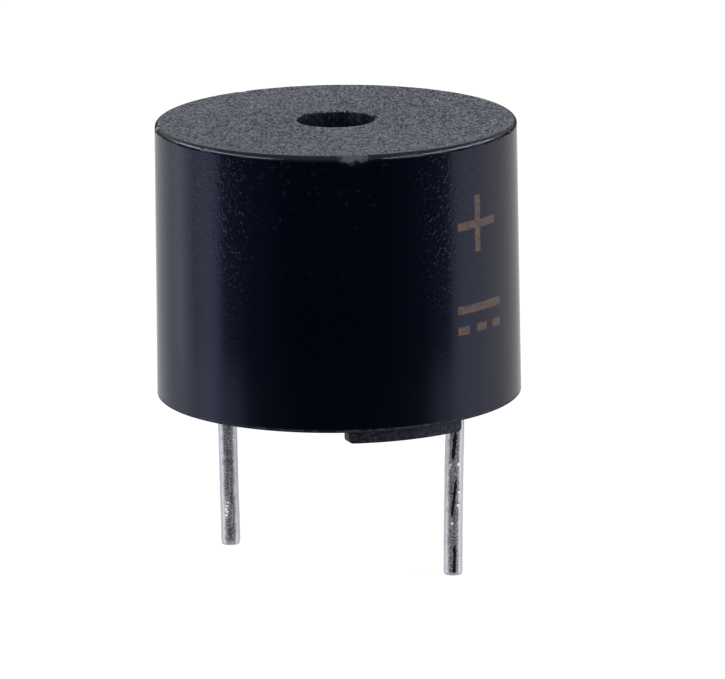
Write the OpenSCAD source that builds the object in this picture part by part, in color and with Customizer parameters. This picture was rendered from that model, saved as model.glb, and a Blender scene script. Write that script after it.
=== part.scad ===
// Magnetic buzzer with a built-in driver: a moulded cup on two wire pins.
// The origin is the middle of the seating plane, at the feet.
// +Z points out of the sound hole and +X points to the longer, positive pin.

/* [Housing] */
// Outer diameter at the bottom rim
case_d = 12; // [11.95:0.05:12.3]
// Outer diameter at the top, smaller by the mould's draft
case_top_d = 11.8; // [11.6:0.05:11.9]
// Height from the seating plane to the top face
case_h = 9.5; // [9.3:0.1:10.5]
// Radius round the top edge
top_edge_r = 0.17; // [0.05:0.01:0.3]
// Radius round the outside of the bottom rim
rim_edge_r = 0.06; // [0.02:0.02:0.1]
// Diameter of the sound hole
sound_hole_d = 2.55; // [1.5:0.05:3.5]
// Radius on both edges of the sound hole
hole_edge_r = 0.03; // [0.01:0.01:0.1]
// Thickness of the top wall
top_wall = 1; // [0.6:0.1:1.2]
// Diameter of the bore that takes the works
bore_d = 10.6; // [10.5:0.05:10.7]
// Chamfer at the mouth of the bore
mouth_chamfer = 0.1; // [0.05:0.01:0.12]
// Diameter of the sound chamber over the diaphragm
chamber_d = 9.4; // [9.1:0.1:9.6]
// Radius in the corner of the sound chamber's ceiling
chamber_corner_r = 0.3; // [0.1:0.1:0.5]
// Angle from the positive pin to the gate's mark on the top edge
gate_at = -78; // [-180:1:180]
// Width of the flat that the broken gate left
gate_w = 0.85; // [0.4:0.05:1.5]
// Depth of that flat in the rounded edge
gate_depth = 0.03; // [0.01:0.01:0.04]

/* [Feet] */
// Height of the feet under the rim
foot_h = 0.4; // [0.2:0.05:0.45]
// Angle that a foot spans
foot_span = 40; // [15:5:60]
// Angle from the positive pin to the first foot's middle
foot_at = -60; // [-90:5:-30]
// Outer diameter that the feet follow
foot_outer_d = 11.6; // [11.4:0.1:11.7]
// Thickness of a foot's wall
foot_wall = 0.35; // [0.2:0.05:0.35]
// Radius on a foot's lower corners
foot_corner_r = 0.12; // [0.05:0.01:0.15]

/* [Pins] */
// Distance between the pins' centres
pin_pitch = 7.6; // [7.4:0.1:7.8]
// Diameter of a pin
pin_d = 0.6; // [0.5:0.05:0.7]
// Length of the positive pin below the seating plane
pin_long = 5.8; // [3:0.1:10]
// Length of the negative pin below the seating plane
pin_short = 4.9; // [2:0.1:9]
// Radius round a pin's free end
pin_end_r = 0.09; // [0.03:0.01:0.15]

/* [Diaphragm] */
// Diameter of the diaphragm
diaphragm_d = 9.9; // [9.6:0.05:9.9]
// Thickness of the diaphragm
diaphragm_t = 0.06; // [0.04:0.01:0.08]
// Diameter of the weight on the diaphragm
weight_d = 4; // [3:0.1:5]
// Thickness of the weight
weight_t = 0.3; // [0.2:0.05:0.5]

/* [Coil and magnet] */
// Outer diameter of the ring magnet
magnet_d = 9.1; // [8.9:0.05:9.2]
// Inner diameter of the ring magnet
magnet_bore_d = 6.6; // [6.5:0.1:7]
// Height of the ring magnet
magnet_h = 2.3; // [1.8:0.1:2.6]
// Diameter of the core post
core_d = 2.4; // [2:0.1:2.6]
// Gap between the core post and the diaphragm
core_gap = 0.2; // [0.1:0.05:0.35]
// Diameter of the wire in the leads and on the winding's outer layer
wire_d = 0.12; // [0.08:0.01:0.14]

/* [Circuit] */
// Thickness of the circuit board
board_t = 0.8; // [0.6:0.1:1]
// Height of the board's underside above the seating plane
board_z = 2; // [2:0.05:2.1]
// Height of the potting's flat surface above the seating plane
resin_z = 0.62; // [0.6:0.01:0.64]

/* [Hidden] */
$fn = 96;
eps = 0.01;

// Housing
case_r = case_d / 2;
draft = atan((case_d - case_top_d) / 2 / (case_h - foot_h));
bore_r = bore_d / 2;
hole_r = sound_hole_d / 2;
chamber_r = chamber_d / 2;
ceiling_z = case_h - top_wall;
foot_outer_r = foot_outer_d / 2;
foot_gap = 0.04;
foot_inner_r = max(foot_outer_r - foot_wall, bore_r + mouth_chamfer + foot_gap);
foot_half_w = foot_outer_r * sin(foot_span / 2);
foot_angles = [foot_at, foot_at + 180];

// Works, from the board up
board_top = board_z + board_t;
yoke_t = 0.8;
yoke_top = board_top + yoke_t;
yoke_notch_half = 1.4;
yoke_notch_x = 2.85;
notch_corner_r = 0.3;
magnet_r = magnet_d / 2;
seat_z = 6.95;
core_r = core_d / 2;
core_top = seat_z - core_gap;
rivet_r = 0.8;
rivet_chamfer = 0.15;
core_edge = 0.05;
ring_locating_h = 0.15;
step_z = seat_z + ring_locating_h;
ring_clearance = 0.02;
ring_chamfer = 0.1;
magnet_edge = 0.12;
weight_edge = 0.04;

// Bobbin and windings
bobbin_wall = 0.25;
bobbin_tube_r = core_r + bobbin_wall;
flange_r = 3;
flange_t = 0.25;
winding_h = 2.1;
winding_z = yoke_top + flange_t;
bobbin_top = winding_z + winding_h + flange_t;
drive_r = 2.2;
turns = floor(winding_h / wire_d);
turn_pitch = winding_h / turns;
wire_r = wire_d / 2;
sense_r = 2.85;
slot_w = 0.3;

// Leads: the coil's common end is by the positive pin, the other two by the negative pin
lead_bend_r = 0.15;
lead_r = flange_r + lead_bend_r;
lead_z = winding_z - wire_r;
lead_end_z = board_z - 0.2;
lead_hole_r = 0.2;
common_at = 20;
drive_at = 160;
sense_at = 200;
lead_angles = [common_at, drive_at, sense_at];

// Pins: a round tail, and a coined blade that the potting and the solder hold
pin_r = pin_d / 2;
blade_z = resin_z + 0.08;
blade_top = board_top + 0.2;
blade_w = 0.84;
blade_t = 0.34;
blade_neck = 0.25;
pin_x = pin_pitch / 2;

// Solder and copper
copper_t = 0.035;
copper_z = board_z - copper_t;
pin_hole_r = 0.5;
pin_pad_r = 0.85;
top_pad_r = 0.7;
fillet_h = 0.36;
top_fillet_h = 0.2;
collar_r = 0.48;
lead_pad_r = 0.36;
lead_dome_h = 0.25;
track_w = 0.4;

// Transistor, 2.9 mm by 1.3 mm, with three gull-wing legs
chip_l = 2.9;
chip_w = 1.3;
chip_h = 0.95;
chip_lift = 0.05;
chip_draft = 0.06;
chip_y = 1.6;
leg_w = 0.4;
leg_t = 0.12;
leg_reach = 1.2;
leg_foot = 0.4;
leg_x = 0.95;
leg_root = 0.15;
leg_spread = leg_reach - leg_foot / 2;

// Resistor, 1.6 mm by 0.8 mm
chip_res_l = 1.6;
chip_res_w = 0.8;
chip_res_h = 0.45;
cap_l = 0.3;
cap_t = 0.05;
res_y = -1.9;
res_pad_x = (chip_res_l - cap_l) / 2;

// Potting
meniscus_r = 0.1;
pin_meniscus_r = 0.14;

// Outer face's radius at a height
function side_r(z) = case_r - (z - foot_h) * tan(draft);

// A point on the lead circle
function lead_point(a) = [lead_r * cos(a), lead_r * sin(a)];

// Outside of the cup: the tapered side with a round at the top edge and at the rim
module case_outline() {
    top_z = case_h - top_edge_r;
    top_x = side_r(top_z) - top_edge_r / cos(draft);
    rim_z = foot_h + rim_edge_r;
    rim_x = side_r(rim_z) - rim_edge_r / cos(draft);
    polygon([
        [0, foot_h],
        [rim_x, foot_h],
        [rim_x + rim_edge_r * cos(draft), rim_z + rim_edge_r * sin(draft)],
        [top_x + top_edge_r * cos(draft), top_z + top_edge_r * sin(draft)],
        [top_x, case_h],
        [0, case_h]
    ]);
    translate([top_x, top_z]) circle(top_edge_r);
    translate([rim_x, rim_z]) circle(rim_edge_r);
}

// Inside of the cup: chamfered mouth, bore, step and sound chamber
module cavity_outline() {
    corner_x = chamber_r - chamber_corner_r;
    corner_z = ceiling_z - chamber_corner_r;
    polygon([
        [0, foot_h - eps],
        [bore_r + mouth_chamfer + eps, foot_h - eps],
        [bore_r, foot_h + mouth_chamfer],
        [bore_r, step_z],
        [chamber_r, step_z],
        [chamber_r, corner_z],
        [corner_x, ceiling_z],
        [0, ceiling_z]
    ]);
    translate([corner_x, corner_z]) circle(chamber_corner_r);
}

// Cutter for the gate's mark: a block that lies at 45 degrees against the rounded top edge
module gate_cutter() {
    round_z = case_h - top_edge_r;
    round_x = side_r(round_z) - top_edge_r / cos(draft);
    rotate([0, 0, gate_at]) translate([round_x, 0, round_z]) rotate([0, -45, 0])
        translate([top_edge_r - gate_depth, -gate_w / 2, -case_r / 2])
            cube([top_edge_r, gate_w, case_r]);
}

// Half of the sound hole, with both its edges rounded over
module hole_outline() {
    e = hole_edge_r;
    translate([0, ceiling_z - eps]) square([hole_r, top_wall + 2 * eps]);
    difference() {
        translate([0, ceiling_z - eps]) square([hole_r + e, e + eps]);
        translate([hole_r + e, ceiling_z + e]) circle(e);
    }
    difference() {
        translate([0, case_h - e]) square([hole_r + e, e + eps]);
        translate([hole_r + e, case_h - e]) circle(e);
    }
}

// End view of a foot: its lower corners are round
module foot_outline() {
    r = foot_corner_r;
    translate([-foot_half_w, r]) square([2 * foot_half_w, foot_h + mouth_chamfer / 2 - r]);
    translate([-foot_half_w + r, 0]) square([2 * (foot_half_w - r), foot_h]);
    for (side = [-1, 1])
        translate([side * (foot_half_w - r), r]) circle(r);
}

// One foot: its end view run out along the radius and cut to the ring of the rim
module foot() {
    intersection() {
        rotate([90, 0, 90]) linear_extrude(case_r) foot_outline();
        rotate_extrude()
            translate([foot_inner_r, 0]) square([foot_outer_r - foot_inner_r, foot_h + mouth_chamfer]);
    }
}

module housing() {
    color([0.06, 0.065, 0.075]) {
        difference() {
            rotate_extrude() difference() {
                case_outline();
                cavity_outline();
                hole_outline();
            }
            gate_cutter();
        }
        for (a = foot_angles)
            rotate([0, 0, a]) foot();
    }
}

module diaphragm() {
    color([0.7, 0.71, 0.72])
        translate([0, 0, seat_z]) cylinder(d = diaphragm_d, h = diaphragm_t);
}

// The weight is spot-welded to the middle of the diaphragm, under the sound hole
module diaphragm_weight() {
    base_z = seat_z + diaphragm_t;
    color([0.6, 0.61, 0.62]) translate([0, 0, base_z]) {
        cylinder(d = weight_d, h = weight_t - weight_edge);
        translate([0, 0, weight_t - weight_edge])
            cylinder(d1 = weight_d, d2 = weight_d - 2 * weight_edge, h = weight_edge);
    }
}

// Spacer between the board and the step in the housing; its ledge carries the diaphragm
module support_ring() {
    ledge_r = diaphragm_d / 2 + ring_clearance;
    color([0.78, 0.79, 0.8]) rotate_extrude() polygon([
        [magnet_r, board_top],
        [bore_r - ring_chamfer, board_top],
        [bore_r, board_top + ring_chamfer],
        [bore_r, step_z],
        [ledge_r, step_z],
        [ledge_r, seat_z],
        [magnet_r, seat_z]
    ]);
}

module ring_magnet() {
    inner = magnet_bore_d / 2;
    e = magnet_edge;
    color([0.2, 0.19, 0.19]) translate([0, 0, yoke_top]) rotate_extrude() polygon([
        [inner, 0],
        [magnet_r, 0],
        [magnet_r, magnet_h - e],
        [magnet_r - e, magnet_h],
        [inner + e, magnet_h],
        [inner, magnet_h - e]
    ]);
}

// Outline of a notch that clears a pin's head and the coil's leads
module yoke_notch() {
    r = notch_corner_r;
    translate([yoke_notch_x + r, -yoke_notch_half]) square([magnet_r, 2 * yoke_notch_half]);
    translate([yoke_notch_x, -yoke_notch_half + r]) square([magnet_r, 2 * (yoke_notch_half - r)]);
    for (side = [-1, 1])
        translate([yoke_notch_x + r, side * (yoke_notch_half - r)]) circle(r);
}

module yoke_plate() {
    color([0.68, 0.68, 0.66]) translate([0, 0, board_top]) difference() {
        cylinder(r = magnet_r, h = yoke_t);
        translate([0, 0, -eps]) cylinder(r = rivet_r, h = yoke_t + 2 * eps);
        cylinder(r1 = rivet_r + rivet_chamfer, r2 = rivet_r, h = rivet_chamfer);
        for (a = [0, 180])
            rotate([0, 0, a]) translate([0, 0, -eps]) linear_extrude(yoke_t + 2 * eps) yoke_notch();
    }
}

// The post's spigot is riveted over in the yoke plate's countersink
module core_post() {
    spigot = [
        [0, board_top],
        [rivet_r + rivet_chamfer, board_top],
        [rivet_r, board_top + rivet_chamfer],
        [rivet_r, yoke_top]
    ];
    post = [
        [core_r, yoke_top],
        [core_r, core_top - core_edge],
        [core_r - core_edge, core_top],
        [0, core_top]
    ];
    color([0.62, 0.62, 0.6]) rotate_extrude() polygon(concat(spigot, post));
}

module coil_bobbin() {
    color([0.85, 0.82, 0.72]) difference() {
        rotate_extrude() polygon([
            [core_r, yoke_top],
            [flange_r, yoke_top],
            [flange_r, winding_z],
            [bobbin_tube_r, winding_z],
            [bobbin_tube_r, winding_z + winding_h],
            [flange_r, winding_z + winding_h],
            [flange_r, bobbin_top],
            [core_r, bobbin_top]
        ]);
        for (a = lead_angles)
            rotate([0, 0, a]) translate([bobbin_tube_r, -slot_w / 2, yoke_top - eps])
                cube([flange_r, slot_w, flange_t + eps]);
    }
}

module drive_winding() {
    color([0.72, 0.36, 0.12]) translate([0, 0, winding_z]) difference() {
        cylinder(r = drive_r, h = winding_h);
        translate([0, 0, -eps]) cylinder(r = bobbin_tube_r, h = winding_h + 2 * eps);
    }
}

// The outer layer shows its turns: one round ridge of wire above the other
module sense_winding() {
    color([0.66, 0.3, 0.1]) translate([0, 0, winding_z]) rotate_extrude() {
        translate([drive_r, 0]) square([sense_r - wire_r - drive_r, winding_h]);
        for (i = [0 : turns - 1])
            translate([sense_r - wire_r, (i + 0.5) * turn_pitch]) circle(wire_r);
    }
}

// A coil lead: out through the bobbin's slot, round a bend and down through the board
module lead(start_r, a) {
    color([0.75, 0.38, 0.14]) rotate([0, 0, a]) {
        translate([start_r, 0, lead_z]) rotate([0, 90, 0]) cylinder(r = wire_r, h = flange_r - start_r);
        translate([flange_r, 0, lead_z - lead_bend_r]) rotate([90, 0, 0])
            rotate_extrude(angle = 90) translate([lead_bend_r, 0]) circle(wire_r);
        translate([lead_r, 0, lead_end_z]) cylinder(r = wire_r, h = lead_z - lead_bend_r - lead_end_z);
    }
}

module lead_drive() lead(bobbin_tube_r + wire_d, drive_at);

module lead_common() lead(drive_r - wire_d, common_at);

module lead_sense() lead(drive_r + wire_d, sense_at);

module circuit_board() {
    color([0.1, 0.32, 0.16]) translate([0, 0, board_z]) difference() {
        cylinder(r = bore_r, h = board_t);
        for (side = [-1, 1])
            translate([side * pin_x, 0, -eps]) cylinder(r = pin_hole_r, h = board_t + 2 * eps);
        for (a = lead_angles)
            translate([lead_point(a).x, lead_point(a).y, -eps])
                cylinder(r = lead_hole_r, h = board_t + 2 * eps);
    }
}

// A straight stretch of track with round ends
module track(from, to) {
    run = to - from;
    translate(from) rotate(atan2(run.y, run.x)) {
        translate([0, -track_w / 2]) square([norm(run), track_w]);
        circle(d = track_w);
        translate([norm(run), 0]) circle(d = track_w);
    }
}

// A rectangular pad round its middle
module pad(at, size) {
    translate(at - size / 2) square(size);
}

module copper_outline() {
    leg_pad = [0.6, 0.7];
    cap_pad = [0.5, 0.9];
    collector = [0, chip_y + leg_spread];
    emitter = [-leg_x, chip_y - leg_spread];
    base = [leg_x, chip_y - leg_spread];
    res_in = [-res_pad_x, res_y];
    res_out = [res_pad_x, res_y];
    difference() {
        union() {
            for (side = [-1, 1])
                translate([side * pin_x, 0]) circle(pin_pad_r);
            for (a = lead_angles)
                translate(lead_point(a)) circle(lead_pad_r);
            for (leg = [collector, emitter, base])
                pad(leg, leg_pad);
            for (end = [res_in, res_out])
                pad(end, cap_pad);
            track([pin_x, 0], lead_point(common_at));
            track(lead_point(drive_at), [lead_point(drive_at).x + 0.7, collector.y]);
            track([lead_point(drive_at).x + 0.7, collector.y], collector);
            track([-pin_x, 0], [emitter.x - 0.6, 0]);
            track([emitter.x - 0.6, 0], emitter);
            track(lead_point(sense_at), res_in);
            track(base, [base.x, res_y + 0.4]);
            track([base.x, res_y + 0.4], res_out);
        }
        for (side = [-1, 1])
            translate([side * pin_x, 0]) circle(pin_hole_r);
        for (a = lead_angles)
            translate(lead_point(a)) circle(lead_hole_r);
    }
}

module copper_tracks() {
    color([0.8, 0.5, 0.28]) {
        translate([0, 0, copper_z]) linear_extrude(copper_t) copper_outline();
        for (side = [-1, 1])
            translate([side * pin_x, 0, board_top]) difference() {
                cylinder(r = top_pad_r, h = copper_t);
                translate([0, 0, -eps]) cylinder(r = pin_hole_r, h = copper_t + 2 * eps);
            }
    }
}

// The transistor hangs under the board; its sides taper both ways from the parting line
module transistor_body() {
    top_z = copper_z - chip_lift;
    mid_z = top_z - chip_h / 2;
    half = chip_w / 2;
    translate([0, chip_y, 0]) intersection() {
        translate([-chip_l / 2, 0, 0]) rotate([90, 0, 90]) linear_extrude(chip_l) polygon([
            [-half + chip_draft, top_z],
            [half - chip_draft, top_z],
            [half, mid_z],
            [half - chip_draft, top_z - chip_h],
            [-half + chip_draft, top_z - chip_h],
            [-half, mid_z]
        ]);
        translate([0, chip_w, 0]) rotate([90, 0, 0]) linear_extrude(2 * chip_w) polygon([
            [-chip_l / 2 + chip_draft, top_z],
            [chip_l / 2 - chip_draft, top_z],
            [chip_l / 2, mid_z],
            [chip_l / 2 - chip_draft, top_z - chip_h],
            [-chip_l / 2 + chip_draft, top_z - chip_h],
            [-chip_l / 2, mid_z]
        ]);
    }
}

// The legs' roots are moulded into the body
module transistor() {
    color([0.1, 0.1, 0.11]) difference() {
        transistor_body();
        transistor_legs();
    }
}

// A gull-wing leg in side view, from its root in the body up to its pad on the board
module leg_outline() {
    mid_z = copper_z - chip_lift - chip_h / 2;
    knee_y = leg_reach - leg_foot;
    polygon([
        [chip_w / 2 - leg_root, mid_z + leg_t / 2],
        [knee_y - leg_t, mid_z + leg_t / 2],
        [knee_y, copper_z],
        [leg_reach, copper_z],
        [leg_reach, copper_z - leg_t],
        [knee_y + leg_t, copper_z - leg_t],
        [knee_y, mid_z - leg_t / 2],
        [chip_w / 2 - leg_root, mid_z - leg_t / 2]
    ]);
}

module transistor_legs() {
    leg_places = [[0, 0], [-leg_x, 180], [leg_x, 180]];
    color([0.75, 0.76, 0.77]) for (place = leg_places)
        translate([place[0], chip_y, 0]) rotate([0, 0, place[1]])
            translate([-leg_w / 2, 0, 0]) rotate([90, 0, 90]) linear_extrude(leg_w) leg_outline();
}

// The ceramic block of the resistor, thinner at its ends, where the caps wrap it
module base_resistor() {
    mid_l = chip_res_l - 2 * cap_l;
    end_l = chip_res_l - 2 * cap_t;
    color([0.85, 0.85, 0.82]) translate([0, res_y - chip_res_w / 2, copper_z - chip_res_h]) {
        translate([-mid_l / 2, 0, 0]) cube([mid_l, chip_res_w, chip_res_h]);
        translate([-end_l / 2, 0, cap_t]) cube([end_l, chip_res_w, chip_res_h - 2 * cap_t]);
    }
}

module resistor_caps() {
    color([0.78, 0.78, 0.76]) translate([0, res_y, copper_z - chip_res_h]) difference() {
        for (side = [-1, 1])
            translate([side * res_pad_x - cap_l / 2, -chip_res_w / 2, 0])
                cube([cap_l, chip_res_w, chip_res_h]);
        translate([-chip_res_l / 2 + cap_t, -chip_res_w, cap_t])
            cube([chip_res_l - 2 * cap_t, 2 * chip_res_w, chip_res_h - 2 * cap_t]);
    }
}

// A pin of a given length below the seating plane
module pin(length) {
    r = pin_end_r;
    color([0.8, 0.8, 0.79]) {
        rotate_extrude() {
            translate([0, -length + r]) square([pin_r, length - r + blade_z]);
            translate([0, -length]) square([pin_r - r, length]);
            translate([pin_r - r, -length + r]) intersection() {
                circle(r);
                translate([0, -r]) square(r);
            }
        }
        intersection() {
            translate([-blade_t / 2, -blade_w / 2, blade_z]) cube([blade_t, blade_w, blade_top - blade_z]);
            union() {
                translate([0, 0, blade_z]) cylinder(r1 = pin_r, r2 = blade_w / 2 + eps, h = blade_neck);
                translate([0, 0, blade_z + blade_neck]) cylinder(r = blade_w, h = blade_top - blade_z);
            }
        }
    }
}

module pin_positive() translate([pin_x, 0, 0]) pin(pin_long);

module pin_negative() translate([-pin_x, 0, 0]) pin(pin_short);

// Half of a solder fillet that climbs from its pad: a hollow quarter round
module solder_outline(h) {
    difference() {
        square([collar_r + h, h]);
        translate([collar_r + h, h]) circle(h);
    }
}

// Solder round a pin's blade: below the board, through the plated hole and above the board
module pin_solder() {
    color([0.7, 0.71, 0.72]) difference() {
        union() {
            translate([0, 0, copper_z]) mirror([0, 0, 1]) rotate_extrude() solder_outline(fillet_h);
            translate([0, 0, copper_z]) cylinder(r = pin_hole_r, h = board_t + 2 * copper_t);
            translate([0, 0, board_top + copper_t]) rotate_extrude() solder_outline(top_fillet_h - copper_t);
        }
        translate([-blade_t / 2, -blade_w / 2, blade_z + blade_neck])
            cube([blade_t, blade_w, blade_top - blade_z]);
    }
}

module solder_positive() translate([pin_x, 0, 0]) pin_solder();

module solder_negative() translate([-pin_x, 0, 0]) pin_solder();

// A dome of solder under the board holds the end of each coil lead
module lead_dome(a) {
    dome_r = (lead_pad_r * lead_pad_r + lead_dome_h * lead_dome_h) / (2 * lead_dome_h);
    translate([lead_point(a).x, lead_point(a).y, copper_z]) intersection() {
        translate([0, 0, dome_r - lead_dome_h]) sphere(dome_r);
        translate([0, 0, -lead_dome_h]) cylinder(r = lead_pad_r, h = lead_dome_h);
    }
}

module solder_leads() {
    color([0.7, 0.71, 0.72]) difference() {
        for (a = lead_angles) lead_dome(a);
        for (a = lead_angles)
            translate([lead_point(a).x, lead_point(a).y, lead_end_z])
                cylinder(r = wire_r, h = board_t);
    }
}

// Potting: fills the mouth up to the board, and climbs a little at the wall and at the pins
module potting_resin() {
    color([0.05, 0.05, 0.055]) difference() {
        union() {
            rotate_extrude() difference() {
                translate([0, resin_z - meniscus_r]) square([bore_r, board_z - resin_z + meniscus_r]);
                translate([0, resin_z - meniscus_r - eps])
                    square([bore_r - meniscus_r, meniscus_r + eps]);
                translate([bore_r - meniscus_r, resin_z - meniscus_r]) circle(meniscus_r);
            }
            for (side = [-1, 1])
                translate([side * pin_x, 0, resin_z]) mirror([0, 0, 1]) rotate_extrude() difference() {
                    square([pin_r + pin_meniscus_r, pin_meniscus_r]);
                    translate([pin_r + pin_meniscus_r, pin_meniscus_r]) circle(pin_meniscus_r);
                }
        }
        translate([0, 0, copper_z]) linear_extrude(board_t) copper_outline();
        for (side = [-1, 1])
            translate([side * pin_x, 0, 0]) {
                translate([0, 0, copper_z]) mirror([0, 0, 1]) rotate_extrude() solder_outline(fillet_h);
                translate([0, 0, copper_z]) cylinder(r = pin_hole_r, h = board_t);
            }
        for (a = lead_angles) lead_dome(a);
        for (a = lead_angles)
            translate([lead_point(a).x, lead_point(a).y, copper_z]) cylinder(r = lead_hole_r, h = board_t);
        transistor_body();
        transistor_legs();
        translate([-chip_res_l / 2, res_y - chip_res_w / 2, copper_z - chip_res_h])
            cube([chip_res_l, chip_res_w, chip_res_h]);
        pin_positive();
        pin_negative();
    }
}

housing();
diaphragm();
diaphragm_weight();
support_ring();
ring_magnet();
yoke_plate();
core_post();
coil_bobbin();
drive_winding();
sense_winding();
lead_drive();
lead_common();
lead_sense();
circuit_board();
copper_tracks();
transistor();
transistor_legs();
base_resistor();
resistor_caps();
pin_positive();
pin_negative();
solder_positive();
solder_negative();
solder_leads();
potting_resin();
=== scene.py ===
# %% [markdown]
# # A magnetic buzzer, modelled in Blender
#
# A magnetic buzzer is the small black drum that beeps on a circuit board. Its
# housing is a moulded cup, 12 mm across, with two low feet on its rim. Potting
# resin closes it from below, and two tinned wire pins come out of the resin. The
# works are inside: a driver circuit, a coil round a steel post, a ring magnet and
# a thin steel diaphragm.
#
# The measured construction comes from CAD as a fixed frame. This lesson keeps
# that frame, remodels the pieces that show with finer surfaces, and gives every
# piece a finish made of shader nodes.

# %% The frame
import math

import bmesh
import bpy
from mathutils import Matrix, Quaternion, Vector


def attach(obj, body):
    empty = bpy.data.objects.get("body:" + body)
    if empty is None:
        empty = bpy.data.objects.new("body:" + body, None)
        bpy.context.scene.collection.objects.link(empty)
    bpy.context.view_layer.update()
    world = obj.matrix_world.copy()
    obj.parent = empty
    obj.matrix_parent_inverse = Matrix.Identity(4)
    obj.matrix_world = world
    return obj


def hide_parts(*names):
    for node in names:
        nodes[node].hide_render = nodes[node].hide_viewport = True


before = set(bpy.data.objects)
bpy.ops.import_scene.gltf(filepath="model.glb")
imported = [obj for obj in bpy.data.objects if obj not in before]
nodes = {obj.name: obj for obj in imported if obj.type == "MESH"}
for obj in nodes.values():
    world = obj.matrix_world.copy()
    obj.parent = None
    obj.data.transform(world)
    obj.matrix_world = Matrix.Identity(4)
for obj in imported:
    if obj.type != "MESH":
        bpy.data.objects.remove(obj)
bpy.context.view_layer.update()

scene = bpy.context.scene

# %% [markdown]
# ## Working at one unit to a millimetre
#
# The frame is in metres, so a 0.06 mm edge radius would be 0.00006 units, close
# to the smallest lengths that the bevel and merge tools tell apart. Each new shape
# is therefore modelled with one unit to a millimetre, and scaled down once at the
# end. The scale is then applied, so that the finished object sits at the origin,
# unturned and unscaled, with its place in its mesh.

# %% Helpers for modelling
MM = 0.001
CLOSE = 0.004  # how near, in mm, a vertex must be to a place to be chosen


def deselect():
    """Nothing is selected, so the next operator acts only on what it should."""
    if bpy.context.object and bpy.context.object.mode != "OBJECT":
        bpy.ops.object.mode_set(mode="OBJECT")
    bpy.ops.object.select_all(action="DESELECT")


def hold(piece):
    """Selects one piece alone, and makes it the active one."""
    deselect()
    piece.select_set(True)
    bpy.context.view_layer.objects.active = piece


def open_mesh(piece, element="FACE"):
    """Enters edit mode on one piece, with nothing selected."""
    hold(piece)
    bpy.ops.object.mode_set(mode="EDIT")
    bpy.ops.mesh.select_mode(type=element)
    bpy.ops.mesh.select_all(action="DESELECT")


def close_mesh():
    bpy.ops.object.mode_set(mode="OBJECT")


def radius(point):
    """How far a point is from the drum's axis."""
    return math.hypot(point.x, point.y)


def middle(element):
    """The middle of an edge or a face."""
    total = Vector((0, 0, 0))
    for vertex in element.verts:
        total += vertex.co
    return total / len(element.verts)


def pick(piece, element, test):
    """In edit mode, selects exactly the vertices, edges or faces that pass a test."""
    bpy.ops.mesh.select_mode(type=element)
    bpy.ops.mesh.select_all(action="DESELECT")
    mesh = bmesh.from_edit_mesh(piece.data)
    group = {"VERT": mesh.verts, "EDGE": mesh.edges, "FACE": mesh.faces}[element]
    chosen = [item for item in group if test(item)]
    for item in chosen:
        item.select_set(True)
    mesh.select_flush_mode()
    bmesh.update_edit_mesh(piece.data)
    return len(chosen)


def on_ring(edge, r, z):
    """True for an edge of the ring with radius r at height z."""
    return all(
        abs(radius(v.co) - r) < CLOSE and abs(v.co.z - z) < CLOSE for v in edge.verts
    )


def round_ring(piece, r, z, width, segments):
    """Bevels one whole ring of edges."""
    count = pick(piece, "EDGE", lambda edge: on_ring(edge, r, z))
    bpy.ops.mesh.bevel(
        offset=width, segments=segments, affect="EDGES", clamp_overlap=False
    )
    return count


def push_softly(shift, reach):
    """Moves the selected vertices, and those within reach of them by less and less."""
    bpy.ops.transform.translate(
        value=shift,
        use_proportional_edit=True,
        proportional_edit_falloff="SMOOTH",
        proportional_size=reach,
    )


def apply_modifier(piece, modifier):
    hold(piece)
    bpy.ops.object.modifier_apply(modifier=modifier.name)


def finish_piece(piece, name, smooth_angle=30):
    """Scales a piece from millimetres to metres, and puts its place in its mesh."""
    hold(piece)
    piece.scale = (MM, MM, MM)
    piece.location = piece.location * MM
    bpy.ops.object.transform_apply(location=True, rotation=True, scale=True)
    bpy.ops.object.shade_smooth_by_angle(angle=math.radians(smooth_angle))
    piece.name = name
    piece.data.name = name
    print(name, "has", len(piece.data.polygons), "faces")


# %% [markdown]
# ## The camera
#
# A long lens looks down on the drum by about 12.5 degrees, from slightly to the
# side of the longer pin. A long lens from far away keeps the ellipse of the top
# flat and the sides nearly parallel, which is how small parts are usually shown.
# The camera is placed on a circle round the drum, aimed at a point just beside
# the drum's middle, and rolled by a fraction of a degree.

# %% Camera
VIEW_TURN = math.radians(7.136)  # how far the camera stands towards the longer pin
VIEW_DROP = math.radians(12.548)  # how far it looks down
VIEW_ROLL = math.radians(-0.741)
VIEW_DISTANCE = 249.12 * MM
VIEW_MIDDLE = Vector((0, 0, 5.1)) * MM  # what the camera is placed round
VIEW_AIM = Vector((0.8569, -0.5416, 2.2424)) * MM  # what it looks at
VIEW_LENS = 376.564  # the focal length, for a sensor 36 wide

towards_camera = Vector(
    (
        math.sin(VIEW_TURN) * math.cos(VIEW_DROP),
        -math.cos(VIEW_TURN) * math.cos(VIEW_DROP),
        math.sin(VIEW_DROP),
    )
)
camera_data = bpy.data.cameras.new("camera")
camera_data.lens = VIEW_LENS
camera_data.sensor_width = 36
camera_data.clip_start = 0.01
camera_data.clip_end = 20
camera = bpy.data.objects.new("camera", camera_data)
scene.collection.objects.link(camera)
camera.location = VIEW_MIDDLE + towards_camera * VIEW_DISTANCE
aim = (VIEW_AIM - camera.location).to_track_quat("-Z", "Y")
camera.rotation_mode = "QUATERNION"
camera.rotation_quaternion = aim @ Quaternion((0, 0, 1), VIEW_ROLL)
scene.camera = camera
print("camera at", [round(v / MM, 1) for v in camera.location], "mm")

# %% [markdown]
# ## The housing
#
# The housing is one moulding: a cup with a slightly tapered side, a round sound
# hole in its flat top, and two arc feet on its open rim. It could be spun from a
# drawn section. Here it starts as a cylinder, and its caps are walked inwards and
# along the inside, one extrusion and one scaling at a time, which is how a cup is
# made by hand. A bridge joins the two caps, and bevels round the edges.

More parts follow.
